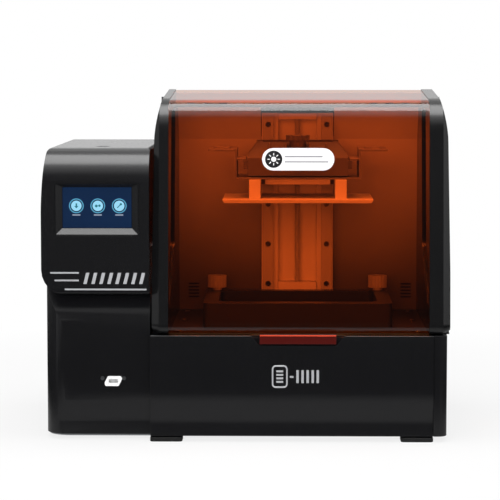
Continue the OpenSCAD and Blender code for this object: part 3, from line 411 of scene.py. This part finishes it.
def screws_rule(name, material):
    """Button-head screws standing on the given points, heads up, each with a hex socket."""
    tree, size, end = rule(name, radius=2.8, height=1.6, socket=2.0)
    radius, height = scaled(tree, size["radius"]), scaled(tree, size["height"])
    head = cylinder(tree, 24, radius, height)
    cone = {
        "Vertices": 24,
        "Radius Top": scaled(tree, radius, 0.7),
        "Radius Bottom": radius,
        "Depth": scaled(tree, height, 0.45),
    }
    crown = put(tree, "GeometryNodeMeshCone", cone).outputs["Mesh"]
    crown = moved(tree, crown, vector(tree, z=scaled(tree, height, 0.5)))
    key = cylinder(tree, 6, scaled(tree, size["socket"], 0.6 * MM), height)
    key = moved(tree, key, vector(tree, z=scaled(tree, height, 0.9)))
    cut = put(tree, "GeometryNodeMeshBoolean", {"Mesh 1": crown, "Mesh 2": key}, operation="DIFFERENCE").outputs["Mesh"]
    screw = join_all(tree, head, cut)
    return end(repeated(tree, size["Geometry"], screw), material)


def thread_rule(name, material):
    """A screw's thread as a ridge wound round its core."""
    tree, size, end = rule(name, radius=4.0, pitch=2.0, length=250.0, ridge=0.9)
    length = scaled(tree, size["length"])
    turns = figured(tree, "DIVIDE", size["length"], size["pitch"])
    inside = figured(tree, "SUBTRACT", size["radius"], size["ridge"])
    wound = scaled(tree, figured(tree, "ADD", inside, 0.1))
    coil = {"Resolution": 16, "Rotations": turns, "Start Radius": wound, "End Radius": wound, "Height": length}
    path = put(tree, "GeometryNodeCurveSpiral", coil).outputs["Curve"]
    tooth = {"Radius": scaled(tree, size["ridge"], 0.9 * MM), "Resolution": 5}
    section = put(tree, "GeometryNodeCurvePrimitiveCircle", tooth).outputs["Curve"]
    swept = {"Curve": path, "Profile Curve": section, "Fill Caps": True}
    ridge = put(tree, "GeometryNodeCurveToMesh", swept).outputs["Mesh"]
    core = cylinder(tree, 24, scaled(tree, inside), length)
    core = moved(tree, core, vector(tree, z=scaled(tree, length, 0.5)))
    return end(join_all(tree, ridge, core), material)


# ---- The CAD pieces with their finishes ----

# node: (finish, eased edge in mm, angle that counts as an edge)
DRESSED = {
    "base_front_panel": (moulded_abs, 0.8, 30),
    "base_right_panel": (moulded_abs, 0.8, 30),
    "cheek_left": (moulded_abs, 0.8, 30),
    "cheek_right": (moulded_abs, 0.8, 30),
    "rear_roof": (moulded_abs, 0.6, 30),
    "tower_shell": (moulded_abs, 1.0, 38),
    "screen_bezel": (moulded_abs, 0.3, 20),
    "button_ring": (moulded_abs, 0.4, 30),
    "power_button": (moulded_abs, 0.5, 30),
    "feet": (rubber, 0.8, 30),
    "deck_plate": (coated_sheet, 0.3, 30),
    "rear_panel": (coated_sheet, 0.3, 30),
    "chamber_back_wall": (wall_painted_light, 0.3, 30),
    "cover_frame_left": (frame_abs, 0.8, 30),
    "cover_frame_right": (frame_abs, 0.8, 30),
    "cover_rear_bar": (platform_aluminium, 0.5, 30),
    "column": (brushed_aluminium, 0.5, 30),
    "guide_rails": (ground_steel, 0.3, 40),
    "bearing_blocks": (platform_aluminium, 0.6, 30),
    "guide_blocks": (ground_steel, 0.5, 30),
    "carriage_plate": (grey_aluminium, 0.5, 30),
    "support_arm": (grey_aluminium, 0.8, 30),
    "platform_bracket": (folded_sheet, 0.3, 30),
    "platform_posts": (platform_aluminium, 0.5, 30),
    "build_platform": (platform_aluminium, 0.4, 20),
    "platform_knob": (grey_aluminium, 0.8, 35),
    "vat_frame": (dark_aluminium, 0.8, 30),
    "vat_knob_left": (turned_aluminium, 0.3, 40),
    "vat_knob_right": (turned_aluminium, 0.3, 40),
    "shaft_coupling": (turned_aluminium, 0.3, 30),
    "screw_nut": (cast_bronze, 0.4, 30),
    "socket_screws": (zinc_steel, 0.2, 30),
    "usb_port": (white_abs, 0.3, 30),
    "usb_port_screws": (zinc_steel, 0.2, 30),
    "power_inlet": (moulded_abs, 0.3, 30),
    "rocker_switch": (moulded_abs, 0.3, 30),
    "hinge_fixed_leaves": (zinc_steel, 0.2, 30),
    "hinge_moving_leaves": (zinc_steel, 0.2, 30),
    "hinge_pins": (ground_steel, 0.2, 30),
    "cover_front_pane": (amber_acrylic, 0.0, 30),
    "cover_top_pane": (amber_acrylic, 0.0, 30),
    "cover_side_panes": (amber_acrylic, 0.0, 30),
    "cover_handle": (red_acrylic, 0.4, 30),
    "cover_label": (label_film, 0.0, 30),
    "touch_screen": (screen_cover, 0.2, 30),
    "lcd_screen": (lcd_glass, 0.2, 30),
    "base_pan": (zinc_steel, 0.0, 30),
    "z_motor": (dark_aluminium, 0.5, 30),
    "control_board": (pcb_lacquer, 0.0, 30),
    "power_supply": (zinc_steel, 0.3, 30),
    "light_box": (zinc_steel, 0.2, 30),
    "lens_panel": (lens_acrylic, 0.0, 30),
    "led_board": (led_white, 0.0, 30),
    "heat_sink": (brushed_aluminium, 0.2, 30),
    "led_fan_frame": (moulded_abs, 0.4, 30),
    "led_fan_rotor": (moulded_abs, 0.3, 30),
    "exhaust_fan_frame": (moulded_abs, 0.4, 30),
    "exhaust_fan_rotor": (moulded_abs, 0.3, 30),
    "vat_film": (clear_film, 0.0, 30),
}
dressed = {node: refined(node, *how) for node, how in DRESSED.items()}

# Places on the object, in millimetres: the print's middle, the tower's front face and the base's front face
PRINT_X = 72.0
Y_FRONT = -182.5
Y_BASE = -178.0

# ---- Lead screw ----

low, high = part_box("lead_screw")
thread = grown(
    thread_rule("lead_screw_thread", ground_steel),
    place=Matrix.Translation(((low[0] + high[0]) / 2, (low[1] + high[1]) / 2, low[2])),
    radius=(high[0] - low[0]) / 2 / MM,
    length=(high[2] - low[2]) / MM,
)
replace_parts(new_piece("lead_screw_wound", thread, "screw", smooth=50), "lead_screw")

# ---- Touch screen's menu ----

# The glass's front face, the first sign's middle, the signs' pitch and their thickness, in millimetres
SCREEN_Y = Y_FRONT + 7
ICON_X = -233.8
ICON_Z = 328.4
ICON_PITCH = 29.6
SIGN_T = 0.15


def menu_place(lift, drop=0.0):
    return facing_front(ICON_X, SCREEN_Y - lift, ICON_Z - drop)


disc_rule = rings_rule("menu_disc", sign_blue)
ring_rule = rings_rule("menu_ring", sign_ring)
caption_rule = bars_rule("menu_captions", sign_pale)
signs = {
    "menu_discs": grown(disc_rule, place=menu_place(0.08), count=3, pitch=ICON_PITCH, outer=7.2, inner=0.0),
    "menu_rings": grown(ring_rule, place=menu_place(0.08), count=3, pitch=ICON_PITCH, outer=10.2, inner=8.7),
    "menu_captions": grown(
        caption_rule,
        place=menu_place(0.08, drop=12.6),
        count=3,
        step=(ICON_PITCH, 0.0, 0.0),
        width=11.0,
        height=1.9,
        thick=SIGN_T,
    ),
}
for name, mesh in signs.items():
    new_piece(name, mesh, "housing")


def flat_shapes(name, outlines, thick_mm, place, body, material):
    """Flat plates cut to outlines drawn in millimetres, with half their thickness on each side of their plane."""
    bm = bmesh.new()
    for outline in outlines:
        front = [bm.verts.new((x * MM, y * MM, thick_mm * MM / 2)) for x, y in outline]
        back = [bm.verts.new((x * MM, y * MM, -thick_mm * MM / 2)) for x, y in outline]
        bm.faces.new(front)
        bm.faces.new(back[::-1])
        for i in range(len(outline)):
            j = (i + 1) % len(outline)
            bm.faces.new((front[j], front[i], back[i], back[j]))
    mesh = bpy.data.meshes.new(name)
    bm.to_mesh(mesh)
    bm.free()
    mesh.transform(place)
    return new_piece(name, mesh, body, material)


def ring_outline(x, y, radius, sides=20, start=0.0):
    turns = [start + 2 * math.pi * i / sides for i in range(sides)]
    return [(x + radius * math.cos(turn), y + radius * math.sin(turn)) for turn in turns]


# An arrow down, two cogs and a tool stroke, as such menus have
marks = [
    [(-1.0, 3.4), (-1.0, -0.4), (-2.8, -0.4), (0, -3.4), (2.8, -0.4), (1.0, -0.4), (1.0, 3.4)],
    ring_outline(ICON_PITCH - 2.0, -0.2, 2.0, 8),
    ring_outline(ICON_PITCH + 2.3, 0.2, 1.7, 8),
    [(2 * ICON_PITCH + x, y) for x, y in ((-3.2, -2.4), (-2.4, -3.2), (2.2, 1.4), (1.4, 2.2))],
    ring_outline(2 * ICON_PITCH + 2.2, 2.2, 1.6, 10),
]
flat_shapes("menu_marks", marks, SIGN_T, menu_place(0.16), "housing", sign_mark)

# ---- Printed trim ----

ink_bars = bars_rule("printed_bars", silver_ink)
# How thick the ink lies across its face, in millimetres
INK = 0.16


def printed_bars(name, x, z, y=Y_FRONT, **sizes):
    return new_piece(name, grown(ink_bars, place=facing_front(x, y, z), thick=INK, **sizes), "housing")


printed_bars("head_line_upper", -250.1, 236.2, count=1, width=39.4, height=2.2)
printed_bars("head_line_middle", -247.2, 225.7, count=1, width=33.5, height=2.2)
printed_bars("head_line_lower", -193.5, 213.3, count=1, width=112.7, height=2.2)
printed_bars("head_hatching", -220.0, 228.6, count=8, step=(11.0, 0.0, 0.0), width=4.6, height=15.5, slant=0.25)
printed_bars("base_dash", 63.4, 91.6, y=Y_BASE, count=1, width=5.0, height=2.6)
printed_bars("base_uprights", 71.5, 92.0, y=Y_BASE, count=5, step=(7.0, 0.0, 0.0), width=3.4, height=18.0)
printed_bars("base_layers", 46.9, 84.6, y=Y_BASE, count=4, step=(0.0, 4.9, 0.0), width=9.5, height=2.6)
frame_line = grown(
    frame_line_rule("printed_frame_line", silver_ink),
    place=facing_front(46.9, Y_BASE, 91.9),
    width=19.8,
    height=29.6,
    corner=4.5,
    line=2.2,
    thick=INK,
)
new_piece("base_frame_line", frame_line, "housing")

# ---- Cover's label ----

# The front pane's lean, in degrees, and on the label, in millimetres: its middle, its face, its disc and its ink
LEAN = math.degrees(math.atan2(30.0, 323.0))
LABEL_Z = 392.0
LABEL_Y = -182.0 + (LABEL_Z - 150.0) * math.tan(math.radians(LEAN)) + 1.0
LABEL_FACE = 0.42
DISC_X = -33.9
LABEL_INK = 0.1
label_face = facing_front(PRINT_X, LABEL_Y, LABEL_Z, LEAN) @ Matrix.Translation((0, 0, LABEL_FACE * MM))
disc = ring_outline(DISC_X, 0.0, 11.9, 40)
flat_shapes("label_disc", [disc], LABEL_INK, label_face, "cover", label_ink)


def ray(turn):
    """One of the sun's rays: its corners as distances from the disc's middle and turns beside the ray's own."""
    corners = ((5.4, -0.12), (8.6, -0.07), (8.6, 0.07), (5.4, 0.12))
    return [(DISC_X + r * math.cos(turn + t), r * math.sin(turn + t)) for r, t in corners]


flat_shapes(
    "label_sun",
    [ring_outline(DISC_X, 0.0, 3.6, 20)] + [ray(i * math.pi / 4) for i in range(8)],
    LABEL_INK,
    label_face @ Matrix.Translation((0, 0, LABEL_INK * MM)),
    "cover",
    label_film,
)
label_bars = bars_rule("label_bars", label_grey)
# Where both bars begin, in millimetres
BARS_X = -18.5
for name, y, width in (("label_bar_upper", 3.6, 52.0), ("label_bar_lower", -3.6, 60.0)):
    place = label_face @ Matrix.Translation(((BARS_X + width / 2) * MM, y * MM, 0))
    mesh = grown(label_bars, place=place, count=1, width=width, height=1.5, thick=LABEL_INK)
    new_piece(name, mesh, "cover")

# ---- Finger tab's top edge: a strip of painted highlight ----

EDGE_HALF_W = 52.6
EDGE_HALF_H = 0.8
low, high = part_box("cover_handle")
flat_shapes(
    "cover_handle_painted_highlight",
    [[(x * EDGE_HALF_W, z * EDGE_HALF_H) for x, z in ((-1, -1), (1, -1), (1, 1), (-1, 1))]],
    0.2,
    facing_front(PRINT_X, low[1] / MM - 0.05, 149.4),
    "cover",
    tab_edge_painted_highlight,
)

# ---- Screws of the rear panel ----

screw_rule = screws_rule("button_head_screws", zinc_steel)
back_face = Matrix.Rotation(math.radians(-90), 4, "X")
# How far back the middle of a screw's head lies
HEAD_Y = 0.1815
spots = [(x, z) for x in (-262, -140) for z in (20, 110, 195)] + [(-266, 300), (-268, 380), (-150, 390)]
spots += [(x, z) for x in (-118, 30, 170, 268) for z in (24, 140)]
spots += [(-118, 300), (-118, 445), (75, 445), (268, 300), (268, 445)]
spots = [(x * MM, -z * MM, HEAD_Y) for x, z in spots]
screws = grown(screw_rule, spots, place=back_face, radius=2.8, height=1.0, socket=2.2)
new_piece("rear_panel_screws", screws, "housing", smooth=30)

# ---- Stage, light and camera ----

# Half of the ground that the object covers, beside and before its middle
FOOT_HALF_X = 0.28
FOOT_HALF_Y = 0.18
# The world's light on matt faces
AMBIENT = 0.25
# Half of the floor's side
FLOOR_HALF = 12


def stage_floor():
    """A white sweep under the object's faint shadow.

    Mirrored, it shines round the object's foot, is dark past the table's edge and pales again in the room beyond.
    """
    bm = bmesh.new()
    bmesh.ops.create_grid(bm, x_segments=1, y_segments=1, size=FLOOR_HALF)
    mesh = bpy.data.meshes.new("floor")
    bm.to_mesh(mesh)
    bm.free()
    floor = bpy.data.objects.new("floor", mesh)
    bpy.context.scene.collection.objects.link(floor)
    material, tree = empty_material("floor_white")
    place = put(tree, "ShaderNodeTexCoord").outputs["Object"]
    path = put(tree, "ShaderNodeLightPath").outputs
    parts = put(tree, "ShaderNodeSeparateXYZ", {"Vector": place}).outputs
    beside = figured(tree, "SUBTRACT", figured(tree, "ABSOLUTE", parts["X"]), FOOT_HALF_X)
    before = figured(tree, "SUBTRACT", figured(tree, "ABSOLUTE", parts["Y"]), FOOT_HALF_Y)
    outside = figured(tree, "MAXIMUM", beside, before)
    near = measured(tree, outside, 0.12, 0.32, 0.45, 0.02, smooth=True)
    far = measured(tree, outside, 0.65, 1.6, 0.02, 0.14)
    mirrored = figured(tree, "MAXIMUM", near, far)
    matt = put(tree, "ShaderNodeBsdfDiffuse", {"Color": linear("#f2f2f2")}).outputs["BSDF"]
    level = blended(tree, path["Is Glossy Ray"], 1.0, mirrored)
    glow = put(tree, "ShaderNodeEmission", {"Color": (1, 1, 1, 1), "Strength": level}).outputs["Emission"]
    away = put(tree, "ShaderNodeVectorMath", {0: place}, operation="LENGTH").outputs["Value"]
    share = figured(tree, "MULTIPLY", measured(tree, away, 0.35, 1.2, 0.8, 1.0), path["Is Camera Ray"])
    share = figured(tree, "MAXIMUM", share, path["Is Glossy Ray"])
    finish_material(tree, put(tree, "ShaderNodeMixShader", {0: share, 1: matt, 2: glow}).outputs["Shader"])
    mesh.materials.append(material)


def studio_world():
    """White where it is seen. Mirrored, it is dark low in front, and bright high up, at the sides and behind."""
    world = bpy.data.worlds.new("studio")
    bpy.context.scene.world = world
    world.use_nodes = True
    tree = world.node_tree
    tree.nodes.clear()
    way = put(tree, "ShaderNodeTexCoord").outputs["Generated"]
    parts = put(tree, "ShaderNodeSeparateXYZ", {"Vector": way}).outputs
    aside = figured(tree, "ABSOLUTE", parts["X"])
    low_front = measured(tree, parts["Z"], 0.1, 0.25, 0.04, 0.12)
    high_front = measured(tree, parts["Z"], 0.5, 0.9, 0.0, 1.6)
    right = measured(tree, parts["X"], 0.45, 0.65, 0.0, 0.9)
    left = measured(tree, parts["X"], -0.65, -0.45, 0.6, 0.0)
    front = figured(tree, "ADD", low_front, high_front)
    front = figured(tree, "MAXIMUM", figured(tree, "MAXIMUM", front, right), left)
    back = measured(tree, parts["Z"], 0.05, 0.15, 1.15, 0.95)
    back = figured(tree, "MULTIPLY", back, measured(tree, aside, 0.75, 0.95, 1.0, 0.35))
    mirrored = blended(tree, measured(tree, parts["Y"], -0.15, 0.15, 0.0, 1.0, smooth=True), front, back)
    path = put(tree, "ShaderNodeLightPath").outputs
    level = blended(tree, path["Is Glossy Ray"], AMBIENT, mirrored)
    seen = figured(tree, "MAXIMUM", path["Is Camera Ray"], path["Is Transmission Ray"])
    level = blended(tree, seen, level, 1.0)
    sky = put(tree, "ShaderNodeBackground", {"Color": (1, 1, 1, 1), "Strength": level}).outputs["Background"]
    tree.links.new(sky, put(tree, "ShaderNodeOutputWorld").inputs["Surface"])


def soft_lamp(name, place, aim, size, power, in_gloss=True):
    lamp = bpy.data.lights.new(name, "AREA")
    lamp.shape = "RECTANGLE"
    lamp.size, lamp.size_y = size
    lamp.energy = power
    holder = bpy.data.objects.new(name, lamp)
    bpy.context.scene.collection.objects.link(holder)
    holder.location = place
    holder.rotation_euler = (Vector(aim) - Vector(place)).to_track_quat("-Z", "Y").to_euler()
    holder.visible_camera = False
    holder.visible_glossy = in_gloss


stage_floor()
studio_world()
# Overhead, so the cover's bend and the tower's roll carry its band
soft_lamp("overhead_softbox", (0.0, -0.25, 2.0), (0.0, -0.24, 0.3), (1.5, 1.2), 31)
# In front and a little above the lens: it fills the chamber and shows in no gloss
soft_lamp("front_fill", (-0.3, -2.6, 0.85), (0.0, -0.1, 0.25), (2.0, 1.2), 47, in_gloss=False)

# The camera's place in millimetres, its turns in degrees and its lens in millimetres
CAMERA_PLACE_MM = (58.0, -3248.7, 533.0)
CAMERA_YAW = 0.976
CAMERA_PITCH = -4.935
CAMERA_LENS = 161.05


def stand_camera():
    data = bpy.data.cameras.new("camera")
    data.lens = CAMERA_LENS
    data.sensor_width = 36
    data.clip_end = 100
    camera = bpy.data.objects.new("camera", data)
    bpy.context.scene.collection.objects.link(camera)
    camera.location = [v * MM for v in CAMERA_PLACE_MM]
    camera.rotation_euler = (math.radians(90 + CAMERA_PITCH), 0, math.radians(CAMERA_YAW))
    bpy.context.scene.camera = camera


stand_camera()
bpy.context.scene.view_settings.view_transform = "Standard"
